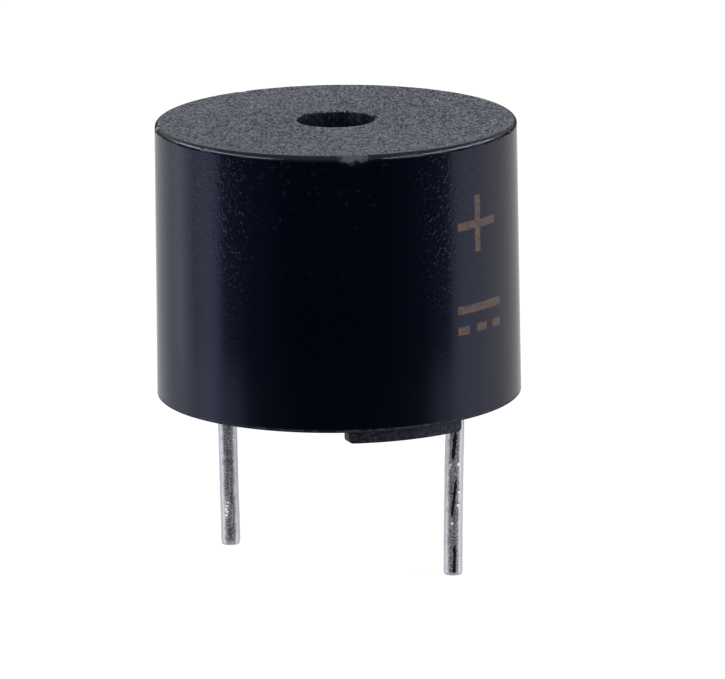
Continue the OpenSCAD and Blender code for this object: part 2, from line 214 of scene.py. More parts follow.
# %% Housing: the walls
CASE_R, CASE_TOP_R = 6.0, 5.93
CASE_BASE, CASE_TOP = 0.4, 9.5
HOLE_R, CHAMBER_R, BORE_R = 1.275, 4.7, 5.3
CEILING, STEP, MOUTH = 8.5, 7.1, 0.5
TOP_FLAT_R, HOLE_FLAT_R = 5.68, 1.45  # between these radii the top is flat
FOOT_OUTER, FOOT_INNER = 5.8, 5.45
RIM_INNER = BORE_R + 0.1
SIDES = 576


def walk(start, steps):
    """Extrudes the selected cap from step to step; a step is a radius and a height."""
    r, z = start
    for next_r, next_z in steps:
        bpy.ops.mesh.extrude_region_move(
            TRANSFORM_OT_translate={"value": (0, 0, next_z - z)}
        )
        factor = next_r / r
        if next_r != r:
            bpy.ops.transform.resize(value=(factor, factor, 1))
        r, z = next_r, next_z


deselect()
bpy.ops.mesh.primitive_cylinder_add(
    vertices=SIDES,
    radius=CASE_R,
    depth=CASE_TOP - CASE_BASE,
    location=(0, 0, (CASE_TOP + CASE_BASE) / 2),
)
housing = bpy.context.object
bpy.ops.object.transform_apply(location=True, rotation=True, scale=True)
open_mesh(housing)
pick(housing, "FACE", lambda f: len(f.verts) > 4 and f.normal.z > 0.5)
bpy.ops.transform.resize(value=(CASE_TOP_R / CASE_R, CASE_TOP_R / CASE_R, 1))
walk(
    (CASE_TOP_R, CASE_TOP),
    [
        (TOP_FLAT_R, CASE_TOP),
        (HOLE_FLAT_R, CASE_TOP),
        (HOLE_R, CASE_TOP),
        (HOLE_R, CEILING),
        (CHAMBER_R, CEILING),
        (CHAMBER_R, STEP),
        (BORE_R, STEP),
        (BORE_R, MOUTH),
    ],
)
pick(housing, "FACE", lambda f: len(f.verts) > 4 and middle(f).z < CASE_BASE + CLOSE)
walk(
    (CASE_R, CASE_BASE),
    [(FOOT_OUTER, CASE_BASE), (FOOT_INNER, CASE_BASE), (RIM_INNER, CASE_BASE)],
)
caps = pick(housing, "FACE", lambda f: len(f.verts) > 4)
bpy.ops.mesh.bridge_edge_loops()
close_mesh()
print("caps bridged:", caps, "faces:", len(housing.data.polygons))

# %% [markdown]
# The mould's corners are never sharp. Each ring of edges is chosen by its radius
# and height, and bevelled to its own radius: 0.17 mm round the top, 0.06 mm at
# the rim, 0.03 mm at both ends of the sound hole, and a wide fillet in the corner
# of the sound chamber. The top's round is then stretched a little in height, and
# three cuts round the wall below it give the nicks some vertices to move.

# %% Housing: rounded edges
SHOULDER_WIDE, SHOULDER_HIGH = 0.17, 0.18
RIM_ROUND, HOLE_ROUND, CHAMBER_FILLET = 0.06, 0.03, 0.3
NICK_CUTS = (9.26, 9.18, 9.08)  # the heights of the cuts below the round
open_mesh(housing)
for r, z, width, segments in (
    (CASE_TOP_R, CASE_TOP, SHOULDER_WIDE, 9),
    (CASE_R, CASE_BASE, RIM_ROUND, 3),
    (HOLE_R, CASE_TOP, HOLE_ROUND, 3),
    (HOLE_R, CEILING, HOLE_ROUND, 3),
    (CHAMBER_R, CEILING, CHAMBER_FILLET, 6),
):
    count = round_ring(housing, r, z, width, segments)
    print("edges rounded at radius", r, "height", z, ":", count)
pick(
    housing,
    "VERT",
    lambda v: CASE_TOP - SHOULDER_WIDE - CLOSE < v.co.z < CASE_TOP - CLOSE / 10
    and radius(v.co) > TOP_FLAT_R,
)
stretching = SHOULDER_HIGH / SHOULDER_WIDE
bpy.ops.transform.resize(value=(1, 1, stretching), center_override=(0, 0, CASE_TOP))
for z in NICK_CUTS:
    bpy.ops.mesh.select_all(action="SELECT")
    bpy.ops.mesh.bisect(plane_co=(0, 0, z), plane_no=(0, 0, 1))
close_mesh()

# %% [markdown]
# The feet hold the rim off the board, so that flux and washing water can drain.
# Each is an arc of the rim drawn down by 0.4 mm, with straight ends. The rim's
# middle band is cut by planes, close together at the ends, and the faces between
# them are extruded. The vertices near the ends are then lifted onto an arc, which
# rounds the lower corners.

# %% Housing: the feet
FOOT_TURN = math.radians(-60)  # the front foot's direction from +X; one is opposite
FOOT_HALF = FOOT_OUTER * math.sin(math.radians(20))  # half a foot's length
FOOT_ROUND = 0.13
ROUND_STEPS = 6
FEET_FROM = 4  # mm along the feet's direction, past which the rim's band is cut
outward = Vector((math.cos(FOOT_TURN), math.sin(FOOT_TURN), 0))
across = Vector((-outward.y, outward.x, 0))


def in_rim_band(face):
    """True for a face of the rim's middle band, which the feet grow from."""
    place = middle(face)
    return abs(place.z - CASE_BASE) < CLOSE and FOOT_INNER < radius(place) < FOOT_OUTER


def on_arc(step):
    """How far in from a foot's end, and how high, its round is at one step."""
    turn = math.pi / 2 * step / ROUND_STEPS
    return FOOT_ROUND * (1 - math.cos(turn)), FOOT_ROUND * (1 - math.sin(turn))


open_mesh(housing)
for side in (-1, 1):
    for step in range(ROUND_STEPS + 1):
        cut = across * (FOOT_HALF - on_arc(step)[0]) * side
        pick(
            housing,
            "FACE",
            lambda f: in_rim_band(f) and abs(middle(f).dot(outward)) > FEET_FROM,
        )
        bpy.ops.mesh.bisect(plane_co=cut, plane_no=across)
pick(
    housing,
    "FACE",
    lambda f: in_rim_band(f) and abs(middle(f).dot(across)) < FOOT_HALF,
)
bpy.ops.mesh.extrude_region_move(TRANSFORM_OT_translate={"value": (0, 0, -CASE_BASE)})
mesh = bmesh.from_edit_mesh(housing.data)
lifted = 0
for vertex in mesh.verts:
    inset = FOOT_ROUND - (FOOT_HALF - abs(vertex.co.dot(across)))
    if abs(vertex.co.z) < CLOSE and 0 < inset < FOOT_ROUND + CLOSE:
        inset = min(inset, FOOT_ROUND)
        vertex.co.z = FOOT_ROUND - math.sqrt(FOOT_ROUND**2 - inset**2)
        lifted += 1
bmesh.update_edit_mesh(housing.data)
close_mesh()
print("vertices lifted to round the feet's ends:", lifted)

# %% [markdown]
# The mould face that shapes the top was eroded by sparks, which leaves fine pits
# and peaks. The flat ring of the top is subdivided into small faces, and a
# Displace modifier moves their vertices along their normals by noise. A vertex
# group keeps the modifier away from everything else. The same helper makes the
# far edge of the sound hole ragged, where the core pin has torn it, and the
# rounded edge of the top slightly uneven.

# %% Housing: ragged edges


def ragged(piece, name, test, strength, size, level=0.5):
    """Moves the vertices that pass a test by noise, over a range of strength, in mm.
    Noise at level moves nothing, so a high level makes more pits than peaks."""
    group = piece.vertex_groups.new(name=name)
    chosen = [v.index for v in piece.data.vertices if test(v.co)]
    group.add(chosen, 1.0, "REPLACE")
    noise = bpy.data.textures.new(name, "CLOUDS")
    noise.noise_scale = size
    modifier = piece.modifiers.new(name, "DISPLACE")
    modifier.texture = noise
    modifier.texture_coords = "LOCAL"
    modifier.vertex_group = name
    modifier.strength = strength
    modifier.mid_level = level
    apply_modifier(piece, modifier)
    piece.vertex_groups.remove(piece.vertex_groups[name])
    print(name, "moved", len(chosen), "vertices")


ERODED_CUTS = 80
MOSTLY_PITS = 0.7  # the noise that moves nothing, where the relief goes inwards
EDGE_DEPTH = 0.1  # how far below the top, in mm, its grain reaches
TORN_FROM = 0.2  # the torn part of the hole's edge is further back than this
open_mesh(housing)
pick(
    housing,
    "EDGE",
    lambda e: all(v.co.z > CASE_TOP - CLOSE for v in e.verts)
    and abs(radius(e.verts[0].co) - radius(e.verts[1].co)) > 1,
)
bpy.ops.mesh.subdivide(number_cuts=ERODED_CUTS)
close_mesh()
ragged(
    housing,
    "eroded_top",
    lambda place: place.z > CASE_TOP - CLOSE
    and HOLE_FLAT_R - CLOSE < radius(place) < TOP_FLAT_R + CLOSE,
    strength=0.085,
    size=0.10,
    level=MOSTLY_PITS,
)
ragged(
    housing,
    "ragged_hole",
    lambda place: place.z > CASE_TOP - EDGE_DEPTH
    and radius(place) < HOLE_FLAT_R - 0.05
    and place.y > TORN_FROM,
    strength=0.15,
    size=0.075,
    level=MOSTLY_PITS,
)
ragged(
    housing,
    "ragged_rim",
    lambda place: place.z > CASE_TOP - SHOULDER_HIGH - CLOSE
    and radius(place) > TOP_FLAT_R + 0.05,
    strength=0.012,
    size=0.16,
)

# %% [markdown]
# Handling and moulding leave marks. The gate, where the plastic entered the
# mould, was broken off at the front of the top edge. Small nicks sit here and
# there in the same edge. Each is a dent: the vertices near a place are moved
# inwards with proportional editing, which fades with the distance. Places on the
# drum are given as bearings from the camera's direction, which are easy to find.

# %% Housing: marks and nicks


def at_bearing(bearing, r, z):
    """A place on the drum, by its bearing from the camera's direction in degrees."""
    turn = VIEW_TURN + math.radians(bearing)
    return Vector((r * math.sin(turn), -r * math.cos(turn), z))


def dent(piece, place, reach, push):
    """Moves the surface near a place by push, a vector in mm, fading over reach."""
    near = min((v.co - place).length for v in piece.data.vertices) + CLOSE / 4
    open_mesh(piece, "VERT")
    pick(piece, "VERT", lambda v: (v.co - place).length < near)
    push_softly(push, reach)
    close_mesh()


before = {v.index: v.co.copy() for v in housing.data.vertices}
NICK_R, NICK_Z = CASE_TOP_R - 0.04, CASE_TOP - 0.05
for bearing, reach, depth, drop in (  # degrees, then mm: wide, inwards and down
    (3.5, 0.34, 0.035, 0.03),
    (6.0, 0.34, 0.045, 0.02),
    (8.5, 0.3, 0.035, 0.035),  # these three touch, and are the gate's mark
    (-83.0, 0.2, 0.08, 0.06),
    (72.0, 0.14, 0.03, 0.03),
    (77.0, 0.12, 0.02, 0.02),
    (-46.5, 0.12, 0.015, 0.015),
    (-18.0, 0.1, 0.01, 0.01),
    (26.5, 0.1, 0.015, 0.01),
    (-148.0, 0.2, 0.04, 0.05),
):
    inwards = at_bearing(bearing, -depth, -drop)
    dent(housing, at_bearing(bearing, NICK_R, NICK_Z), reach, inwards)
moved = sum((v.co - before[v.index]).length > CLOSE / 4 for v in housing.data.vertices)
print("vertices moved by dents:", moved)

# %% [markdown]
# Long flat faces beside narrow rounds need care with shading: a smooth normal is
# shared between them, and the flat face would look domed. Weighted normals give
# the large face its own direction, and leave the bend to the round.

# %% Housing: smooth shading


def weigh_normals(piece):
    """Lets the largest face at a vertex give the vertex its shading direction."""
    modifier = piece.modifiers.new("weighted normals", "WEIGHTED_NORMAL")
    modifier.mode = "FACE_AREA"
    modifier.weight = 100
    modifier.keep_sharp = True
    apply_modifier(piece, modifier)


finish_piece(housing, "housing_shell")
weigh_normals(housing)
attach(housing, "root")
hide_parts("housing")

# %% [markdown]
# ## The pins
#
# The pins are tinned steel wire, 0.6 mm thick. The tail goes through the board,
# its end is cut and a little rounded, and the part above, inside the potting, is
# coined flat so that it can't turn or pull out. A cylinder gives the tail. The
# blade is its upper cap, extruded, widened and pressed flat. Handled pins are
# never quite straight: rings of vertices along the tail let proportional editing
# lean it in by about a degree. The coat of tin adds a hundredth of a millimetre,
# unevenly, and small drops of it froze on the surface.

# %% Pins
PIN_X, PIN_R = 3.8, 0.3
PIN_SIDES = 48
LONG_TAIL, SHORT_TAIL = 5.8, 4.9
BLADE_FROM, BLADE_TO, BLADE_NECK = 0.7, 3.0, 0.25
BLADE_WIDE, BLADE_THICK = 0.84, 0.34
PIN_END = 0.04  # how far the cut end is rounded
RING_STEP = 0.05  # about how far apart the rings are along a tail
BARE = 0.1  # how much of each end of a tail has no coat
DROP_REACH, DROP_HEIGHT = 0.075, 0.025


def bearing_on_pin(aside):
    """The bearing at which a pin's surface is that far across the view, in mm."""
    return math.degrees(math.asin(aside / PIN_R))


def make_pin(name, x, length, node, bends, drops):
    """One pin; a bend is a height, how far it reaches and a sideways shift, in mm.
    A drop is a small bump of tin: its place across the view, and its height."""
    deselect()
    bpy.ops.mesh.primitive_cylinder_add(
        vertices=PIN_SIDES,
        radius=PIN_R,
        depth=length + BLADE_FROM,
        location=(0, 0, (BLADE_FROM - length) / 2),
    )
    pin = bpy.context.object
    bpy.ops.object.transform_apply(location=True, rotation=True, scale=True)
    open_mesh(pin)
    pick(pin, "FACE", lambda f: f.normal.z > 0.5)
    bpy.ops.mesh.extrude_region_move(
        TRANSFORM_OT_translate={"value": (0, 0, BLADE_NECK)}
    )
    bpy.ops.transform.resize(value=(1, BLADE_WIDE / (2 * PIN_R), 1))
    bpy.ops.mesh.extrude_region_move(
        TRANSFORM_OT_translate={"value": (0, 0, BLADE_TO - BLADE_FROM - BLADE_NECK)}
    )
    for side in (-1, 1):
        flat = side * BLADE_THICK / 2
        pick(
            pin,
            "VERT",
            lambda v: v.co.z > BLADE_FROM + CLOSE and v.co.x * side > BLADE_THICK / 2,
        )
        bpy.ops.transform.resize(value=(0, 1, 1), center_override=(flat, 0, 0))
    round_ring(pin, PIN_R, -length, PIN_END, 3)
    pick(pin, "EDGE", lambda e: abs(e.verts[0].co.z - e.verts[1].co.z) > length)
    bpy.ops.mesh.subdivide(number_cuts=round(length / RING_STEP))
    for height, reach, shift in bends:
        pick(pin, "VERT", lambda v: abs(v.co.z - height) < RING_STEP * 0.6)
        push_softly((shift, 0, 0), reach)
    close_mesh()
    ragged(
        pin,
        name + "_coat",
        lambda v: -length + BARE < v.z < -BARE,
        strength=0.014,
        size=0.3,
        level=-0.4,
    )
    for aside, height in drops:
        bearing = bearing_on_pin(aside)
        outwards = at_bearing(bearing, DROP_HEIGHT, 0)
        dent(pin, at_bearing(bearing, PIN_R, height), DROP_REACH, outwards)
    pin.location.x = x
    finish_piece(pin, name, smooth_angle=40)
    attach(pin, "root")
    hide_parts(node)
    return pin


LONG_DROPS = [(-0.14, -2.02), (0.12, -2.0), (0.14, -2.95), (0.1, -3.4), (-0.1, -4.0)]
SHORT_DROPS = [(0.09, -3.4), (0.03, -3.42), (0.01, -3.54)]
SHORT_DROPS += [(-0.03, -3.66), (0.01, -3.74), (-0.02, -3.86)]
long_pin = make_pin(
    "long_pin",
    PIN_X,
    LONG_TAIL,
    "pin_positive",
    [(-0.8, 1.6, 0.02), (-LONG_TAIL, 5.4, -0.085)],
    LONG_DROPS,
)
short_pin = make_pin(
    "short_pin",
    -PIN_X,
    SHORT_TAIL,
    "pin_negative",
    [(-0.8, 2.4, 0.03), (-SHORT_TAIL, 6.0, 0.1)],
    SHORT_DROPS,
)

# %% [markdown]
# ## The potting resin
#
# Black resin is poured in from below, and closes the cup. It wets what it
# touches, so it climbs a little at the wall and round the pins. Its shape from
# CAD is right, but its mesh is loose triangles. A copy is merged and smoothed,
# which keeps the hollows that the circuit's parts leave in it.

# %% A smooth copy of the CAD resin
MERGE_WITHIN = 1e-7  # in metres, as a CAD mesh is
resin = bpy.data.objects.new("resin_fill", nodes["potting_resin"].data.copy())
scene.collection.objects.link(resin)
resin.data.materials.clear()
open_mesh(resin, "VERT")
bpy.ops.mesh.select_all(action="SELECT")
bpy.ops.mesh.remove_doubles(threshold=MERGE_WITHIN)
close_mesh()
bpy.ops.object.shade_smooth_by_angle(angle=math.radians(30))
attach(resin, "root")
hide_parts("potting_resin")
print("resin_fill has", len(resin.data.polygons), "faces")

# %% [markdown]
# ## Finishes
#
# A finish is a small tree of shader nodes that ends in one Principled shader. All
# patterns read Object coordinates, which stay fixed to the piece, and their sizes
# are given in millimetres. These helpers add a node or a few, so that a finish
# reads as a short list.

# %% Helpers for finishes: the shader and its nodes


def shader_of(finish):
    return finish.node_tree.nodes["Principled BSDF"]


def new_finish(name, colour, roughness, metallic=0.0, more=()):
    """An even finish; more pairs other sockets of its shader with values."""
    finish = bpy.data.materials.new(name)
    finish.use_nodes = True
    values = {"Base Color": (*colour, 1), "Roughness": roughness, "Metallic": metallic}
    values.update(more)
    for socket, value in values.items():
        shader_of(finish).inputs[socket].default_value = value
    return finish


def add_node(finish, kind, inputs=(), **settings):
    """Adds a node; inputs pairs a socket's name or number with a value or an output."""
    node = finish.node_tree.nodes.new(kind)
    for key, value in settings.items():
        setattr(node, key, value)
    for key, value in dict(inputs).items():
        if isinstance(value, bpy.types.NodeSocket):
            finish.node_tree.links.new(value, node.inputs[key])
        else:
            node.inputs[key].default_value = value
    return node


def feed(finish, output, socket):
    """Leads a node's output to a socket of the finish's shader."""
    finish.node_tree.links.new(output, shader_of(finish).inputs[socket])


def dress(piece, *finishes):
    """Puts finishes into a piece's material slots."""
    piece.data.materials.clear()
    for finish in finishes:
        piece.data.materials.append(finish)


# %% Helpers for finishes: places


def vector_maths(finish, operation, inputs):
    node = add_node(finish, "ShaderNodeVectorMath", inputs, operation=operation)
    return node.outputs["Value" if operation in ("LENGTH", "DISTANCE") else "Vector"]


def place(finish):
    """Object coordinates, with one unit to a millimetre."""
    coordinates = add_node(finish, "ShaderNodeTexCoord").outputs["Object"]
    return vector_maths(finish, "SCALE", {0: coordinates, "Scale": 1 / MM})


def stretch(finish, vector, scale):
    """Makes a pattern longer along the axes with a small scale."""
    return vector_maths(finish, "MULTIPLY", {0: vector, 1: scale})


def coordinate(finish, vector, axis):
    """The X, Y or Z of a vector."""
    return add_node(finish, "ShaderNodeSeparateXYZ", {0: vector}).outputs[axis]


def turn_to_view(finish, vector):
    """Turns a vector by the angle VIEW_TURN, so that its X runs across the view."""
    node = add_node(
        finish,
        "ShaderNodeVectorRotate",
        {"Vector": vector, "Angle": -VIEW_TURN},
        rotation_type="Z_AXIS",
    )
    return node.outputs[0]


# %% Helpers for finishes: patterns


def cloud(finish, vector, size, detail=2.0, rough=0.5):
    """Soft noise from 0 to 1, with features about as large as size, in mm."""
    node = add_node(
        finish,
        "ShaderNodeTexNoise",
        {"Vector": vector, "Scale": 1 / size, "Detail": detail, "Roughness": rough},
    )
    return node.outputs["Fac"]


def grains(finish, vector, size):
    """The distance to the middle of the nearest grain, 0 at the middle."""
    inputs = {"Vector": vector, "Scale": 1 / size}
    return add_node(finish, "ShaderNodeTexVoronoi", inputs).outputs["Distance"]


def spread(finish, value, low, high, to_low=0.0, to_high=1.0):
    """Stretches the range low to high of a pattern over to_low to to_high, softly."""
    inputs = {"Value": value, "From Min": low, "From Max": high}
    inputs.update({"To Min": to_low, "To Max": to_high})
    node = add_node(finish, "ShaderNodeMapRange", inputs, interpolation_type="SMOOTHSTEP")
    return node.outputs["Result"]


# %% Helpers for finishes: sums, colours and relief


def maths(finish, operation, *values):
    """One step of arithmetic on one, two or three values."""
    inputs = dict(enumerate(values))
    return add_node(finish, "ShaderNodeMath", inputs, operation=operation).outputs[0]


def times(finish, first, *others):
    """The product of several values."""
    for other in others:
        first = maths(finish, "MULTIPLY", first, other)
    return first


def highest(finish, first, *others):
    """The largest of several values."""
    for other in others:
        first = maths(finish, "MAXIMUM", first, other)
    return first


def mixture(finish, first, share, second, other_share):
    """Two patterns, added by their shares."""
    shares = times(finish, first, share), times(finish, second, other_share)
    return maths(finish, "ADD", *shares)


def unroll(finish, vector):
    """The bearing of a point from the camera's direction, in radians."""
    turned = turn_to_view(finish, vector)
    ahead = times(finish, coordinate(finish, turned, "Y"), -1.0)
    return maths(finish, "ARCTAN2", coordinate(finish, turned, "X"), ahead)


def blend(finish, factor, first, second):
    """A colour between two colours."""
    node = add_node(finish, "ShaderNodeMix", {"Factor": factor}, data_type="RGBA")
    for number, value in ((6, first), (7, second)):
        if isinstance(value, bpy.types.NodeSocket):
            finish.node_tree.links.new(value, node.inputs[number])
        else:
            node.inputs[number].default_value = (*value, 1)
    return node.outputs[2]


def emboss(finish, height, depth):
    """Raises the surface by up to depth, in mm, where height is 1."""
    inputs = {"Height": height, "Distance": depth * MM, "Strength": 1.0}
    return add_node(finish, "ShaderNodeBump", inputs).outputs["Normal"]


def texture(finish, pattern, low, high, dark, light, depth):
    """Colours a finish by one pattern, from low to high, and embosses it too."""
    tone = spread(finish, pattern, low, high)
    feed(finish, blend(finish, tone, dark, light), "Base Color")
    feed(finish, emboss(finish, pattern, depth), "Normal")


# %% [markdown]
# ### Black moulded plastic
#
# The mould's side walls are polished, so the drum's side is glossy. It mirrors
# the room, sharply near the top and more softly low down. It is not optically
# flat: tiny pimples and dusty specks catch the light where the mirrored room
# changes from dark to bright. Handling has rubbed the last tenth of a millimetre
# above the rim matt, and a lighter grey there is a painted highlight along the
# rim's edge. The top has the dull grain of a spark-eroded mould, coloured with a
# painted grey sheen that is lighter on the grain's peaks, and the feet have a
# darker, shallower one. The rounded edge between top and side is dulled by
# handling. Several finishes on one moulding are several material slots, given
# to its faces by where they are.
#
# The gate's stub leaves a matt scar across the edge. Its mask is written in
# millimetres along and up the drum, with noise added to make its border uneven.

# %% Where the gate was
GATE_BEARING, GATE_HALF, GATE_LOW = 5.5, 0.46, 9.22  # degrees, mm, mm


def gate_scar(finish, spot, height_up):
    """1 where the gate's stub was broken off, with a soft, uneven border."""
    off = maths(finish, "SUBTRACT", unroll(finish, spot), math.radians(GATE_BEARING))
    beside = times(finish, maths(finish, "ABSOLUTE", off), CASE_TOP_R)
    shaky = maths(finish, "MULTIPLY_ADD", cloud(finish, spot, 0.16), 0.8, -0.4)
    beside = maths(finish, "ADD", beside, shaky)
    level = maths(finish, "ADD", height_up, times(finish, shaky, 0.6))
    inside = spread(finish, beside, GATE_HALF - 0.22, GATE_HALF + 0.12, 1.0, 0.0)
    return times(finish, inside, spread(finish, level, GATE_LOW, GATE_LOW + 0.14))


# %% [markdown]
# Such drums carry a few signs burnt in by a laser, as rows of small brown dots.
# Here they are generic: a plus for the side of the positive pin, and the sign for
# direct current, which is a line over three dashes. Every stroke is a straight
# line. The shader works out how far a point is from the nearest one, and where
# that is less than half a stroke, the finish is a matt, finely dotted brown.

# %% Laser marking
STROKE = 0.13  # half a stroke's width, in mm
SHAKE = 0.03  # by how much, in mm, the dots make a stroke's edge uneven and soft
PLUS_AT, PLUS_ARM = (5.2, 6.8), 0.8  # along the drum from the camera's direction, and up
DC_AT, DC_HALF, DC_GAP, DASH_HALF = (5.35, 3.7), 0.98, 0.34, 0.12
FAR_OFF = 9.0  # a distance, in mm, at which no stroke is near


def line(finish, along, height, middle, half_along, half_up):
    """How far, in mm, a point is from an upright or level line."""
    gaps = []
    for value, centre, half in ((along, middle[0], half_along), (height, middle[1], half_up)):
        off = maths(finish, "ABSOLUTE", maths(finish, "SUBTRACT", value, centre))
        gaps.append(maths(finish, "SUBTRACT", off, half))
    return highest(finish, *gaps)


def laser_marks(finish, spot, height):
    """1 on the signs' strokes; the edges are uneven, as dots leave them."""
    along = times(finish, unroll(finish, spot), CASE_R)
    across, up = DC_AT
    lines = [(PLUS_AT, PLUS_ARM, 0), (PLUS_AT, 0, PLUS_ARM), ((across, up + DC_GAP), DC_HALF, 0)]
    for step in (-1, 0, 1):
        dash = (across + step * (DC_HALF - DASH_HALF), up - DC_GAP)
        lines.append((dash, DASH_HALF, 0))
    nearest = FAR_OFF
    for one in lines:
        nearest = maths(finish, "MINIMUM", line(finish, along, height, *one), nearest)
    noise = cloud(finish, spot, 0.1, detail=1.0)
    uneven = maths(finish, "MULTIPLY_ADD", noise, 2 * SHAKE, -SHAKE)
    nearest = maths(finish, "ADD", nearest, uneven)
    return spread(finish, nearest, STROKE - SHAKE, STROKE + SHAKE, 1.0, 0.0)


# %% Finish: polished side
SIDE_BLACK = (0.0006, 0.0011, 0.0044)
# The same height also bounds the painted highlight along the rim.
RUBBED_AND_HIGHLIT_TO = CASE_BASE + 0.1  # the height to which handling has rubbed the gloss off
PIMPLE_HEIGHT = 0.0035
polished = new_finish(
    "polished_plastic",
    SIDE_BLACK,
    0.12,
    more={
        "IOR": 1.5,
        "Specular Tint": (0.52, 0.59, 1.0, 1),
        "Specular IOR Level": 0.75,
    },
)
spot = place(polished)
height_up = coordinate(polished, spot, "Z")
scar = gate_scar(polished, spot, height_up)
marks = laser_marks(polished, spot, height_up)
# 1 on the band above the rim, which is rubbed matt and also carries a painted highlight.
rubbed_rim_and_highlight = spread(polished, height_up, RUBBED_AND_HIGHLIT_TO - 0.02, RUBBED_AND_HIGHLIT_TO + 0.03, 1.0, 0.0)
matt = times(polished, highest(polished, scar, marks, rubbed_rim_and_highlight), 0.45)
gloss = spread(polished, height_up, 0.8, 3.4, 0.18, 0.09)
feed(polished, highest(polished, gloss, matt), "Roughness")
pimples = cloud(polished, stretch(polished, spot, (1, 1, 0.6)), 0.1, detail=1.0)
pimples = spread(polished, pimples, 0.5, 0.8)
fading = spread(polished, height_up, 3.0, 8.0, 0.12, 1.0)
pimples = times(polished, pimples, fading)
feed(polished, emboss(polished, pimples, PIMPLE_HEIGHT), "Normal")

# %% Polished side: specks, scar, rubbed rim with a painted highlight, and signs
SPECK_GREY = (0.009, 0.011, 0.024)
SCAR_GREY = (0.045, 0.049, 0.062)
RIM_HIGHLIGHT_GREY = (0.03, 0.032, 0.042)
BURNT_BROWN, DOT_BROWN = (0.065, 0.04, 0.025), (0.13, 0.081, 0.052)
specks = spread(polished, grains(polished, spot, 0.3), 0.0, 0.45, 1.0, 0.0)
broken = spread(polished, cloud(polished, spot, 0.12), 0.42, 0.62)
patches = spread(polished, cloud(polished, spot, 1.6), 0.4, 0.6)
upper = spread(polished, height_up, 4.0, 8.0)
specks = times(polished, specks, broken, patches, upper)
colour = blend(polished, specks, SIDE_BLACK, SPECK_GREY)
colour = blend(polished, scar, colour, SCAR_GREY)
# The lighter grey just above the rim is a painted highlight along the rim's edge, on the rubbed
# band.
rim_highlight = spread(polished, cloud(polished, spot, 0.18), 0.42, 0.62, 0.1, 1.0)
above_rim = spread(polished, height_up, CASE_BASE + 0.03, CASE_BASE + 0.06)
rim_highlight = times(polished, rim_highlight, rubbed_rim_and_highlight, above_rim)
colour = blend(polished, rim_highlight, colour, RIM_HIGHLIGHT_GREY)
dots = spread(polished, grains(polished, spot, 0.07), 0.2, 0.8, 1.0, 0.0)
brown = blend(polished, dots, BURNT_BROWN, DOT_BROWN)
feed(polished, blend(polished, marks, colour, brown), "Base Color")

# %% Finish: spark-eroded grain, with a painted grey sheen
COOL = (0.7, 0.79, 1.0, 1)  # the tint of what grained plastic mirrors
# The grain's light colour is a painted grey sheen: the peaks are coloured lighter than the black
# plastic.
GRAIN_DARK, GRAIN_SHEEN = (0.012, 0.012, 0.015), (0.21, 0.226, 0.282)
eroded = new_finish("eroded_plastic", (0.02, 0.021, 0.026), 0.42, more={"Specular Tint": COOL})
fine = cloud(eroded, place(eroded), 0.08, rough=0.7)
texture(eroded, fine, 0.4, 0.63, GRAIN_DARK, GRAIN_SHEEN, 0.08)

# %% Finish: the feet's grain
FOOT_DARK, FOOT_LIGHT = (0.006, 0.007, 0.012), (0.03, 0.032, 0.042)
foot_grain = new_finish("foot_grain", FOOT_DARK, 0.34, more={"Specular Tint": COOL})
shallow = cloud(foot_grain, place(foot_grain), 0.1, rough=0.6)
texture(foot_grain, shallow, 0.4, 0.7, FOOT_DARK, FOOT_LIGHT, 0.02)

# %% Finish: dulled edge
EDGE_BLACK, EDGE_SCAR = (0.004, 0.0045, 0.008), (0.06, 0.065, 0.08)
dulled = new_finish(
    "dulled_edge",
    EDGE_BLACK,
    0.2,
    more={"Specular Tint": (0.7, 0.76, 1.0, 1), "Specular IOR Level": 0.6},
)
spot = place(dulled)
scar = gate_scar(dulled, spot, coordinate(dulled, spot, "Z"))
scuffs = cloud(dulled, spot, 0.12)
feed(dulled, emboss(dulled, scuffs, 0.004), "Normal")
worn = spread(dulled, cloud(dulled, spot, 0.9, detail=1.0), 0.42, 0.6, 0.15, 0.34)
matt = times(dulled, scar, 0.55)
feed(dulled, highest(dulled, worn, matt), "Roughness")
feed(dulled, blend(dulled, scar, EDGE_BLACK, EDGE_SCAR), "Base Color")

# %% Finish: the sound hole's wall
HOLE_DARK, HOLE_LIGHT = (0.0015, 0.0018, 0.0055), (0.014, 0.0155, 0.032)
hole_wall = new_finish(
    "hole_wall",
    (0.005, 0.006, 0.012),
    0.4,
    more={"Specular Tint": (0.6, 0.68, 1.0, 1), "Specular IOR Level": 0.3},
)
upright = stretch(hole_wall, place(hole_wall), (1, 1, 0.7))
texture(hole_wall, cloud(hole_wall, upright, 0.09), 0.42, 0.7, HOLE_DARK, HOLE_LIGHT, 0.02)

# %% Which faces of the housing have which finish
dress(housing, polished, eroded, dulled, foot_grain, hole_wall)
POLISHED, GRAINED, DULLED, FOOT, HOLE = 0, 1, 2, 3, 4
HOLE_LIP = 0.02  # how much of the hole's rounded edge, in mm, has the top's grain
counts = [0, 0, 0, 0, 0]
for polygon in housing.data.polygons:
    centre = polygon.center / MM
    kind = POLISHED
    if centre.z > CASE_TOP - SHOULDER_HIGH - CLOSE and radius(centre) > TOP_FLAT_R:
        kind = DULLED
    if radius(centre) < CASE_TOP_R - SHOULDER_WIDE and centre.z > CASE_TOP - EDGE_DEPTH:
        kind = GRAINED
    hole_to = HOLE_FLAT_R if centre.y > TORN_FROM else HOLE_R + HOLE_LIP
    if radius(centre) < hole_to and centre.z < CASE_TOP - HOLE_LIP:
        kind = HOLE
    if centre.z < CASE_BASE - CLOSE:
        kind = FOOT
    polygon.material_index = kind
    counts[kind] += 1
print("faces polished, grained, dulled, of the feet and of the hole:", counts)
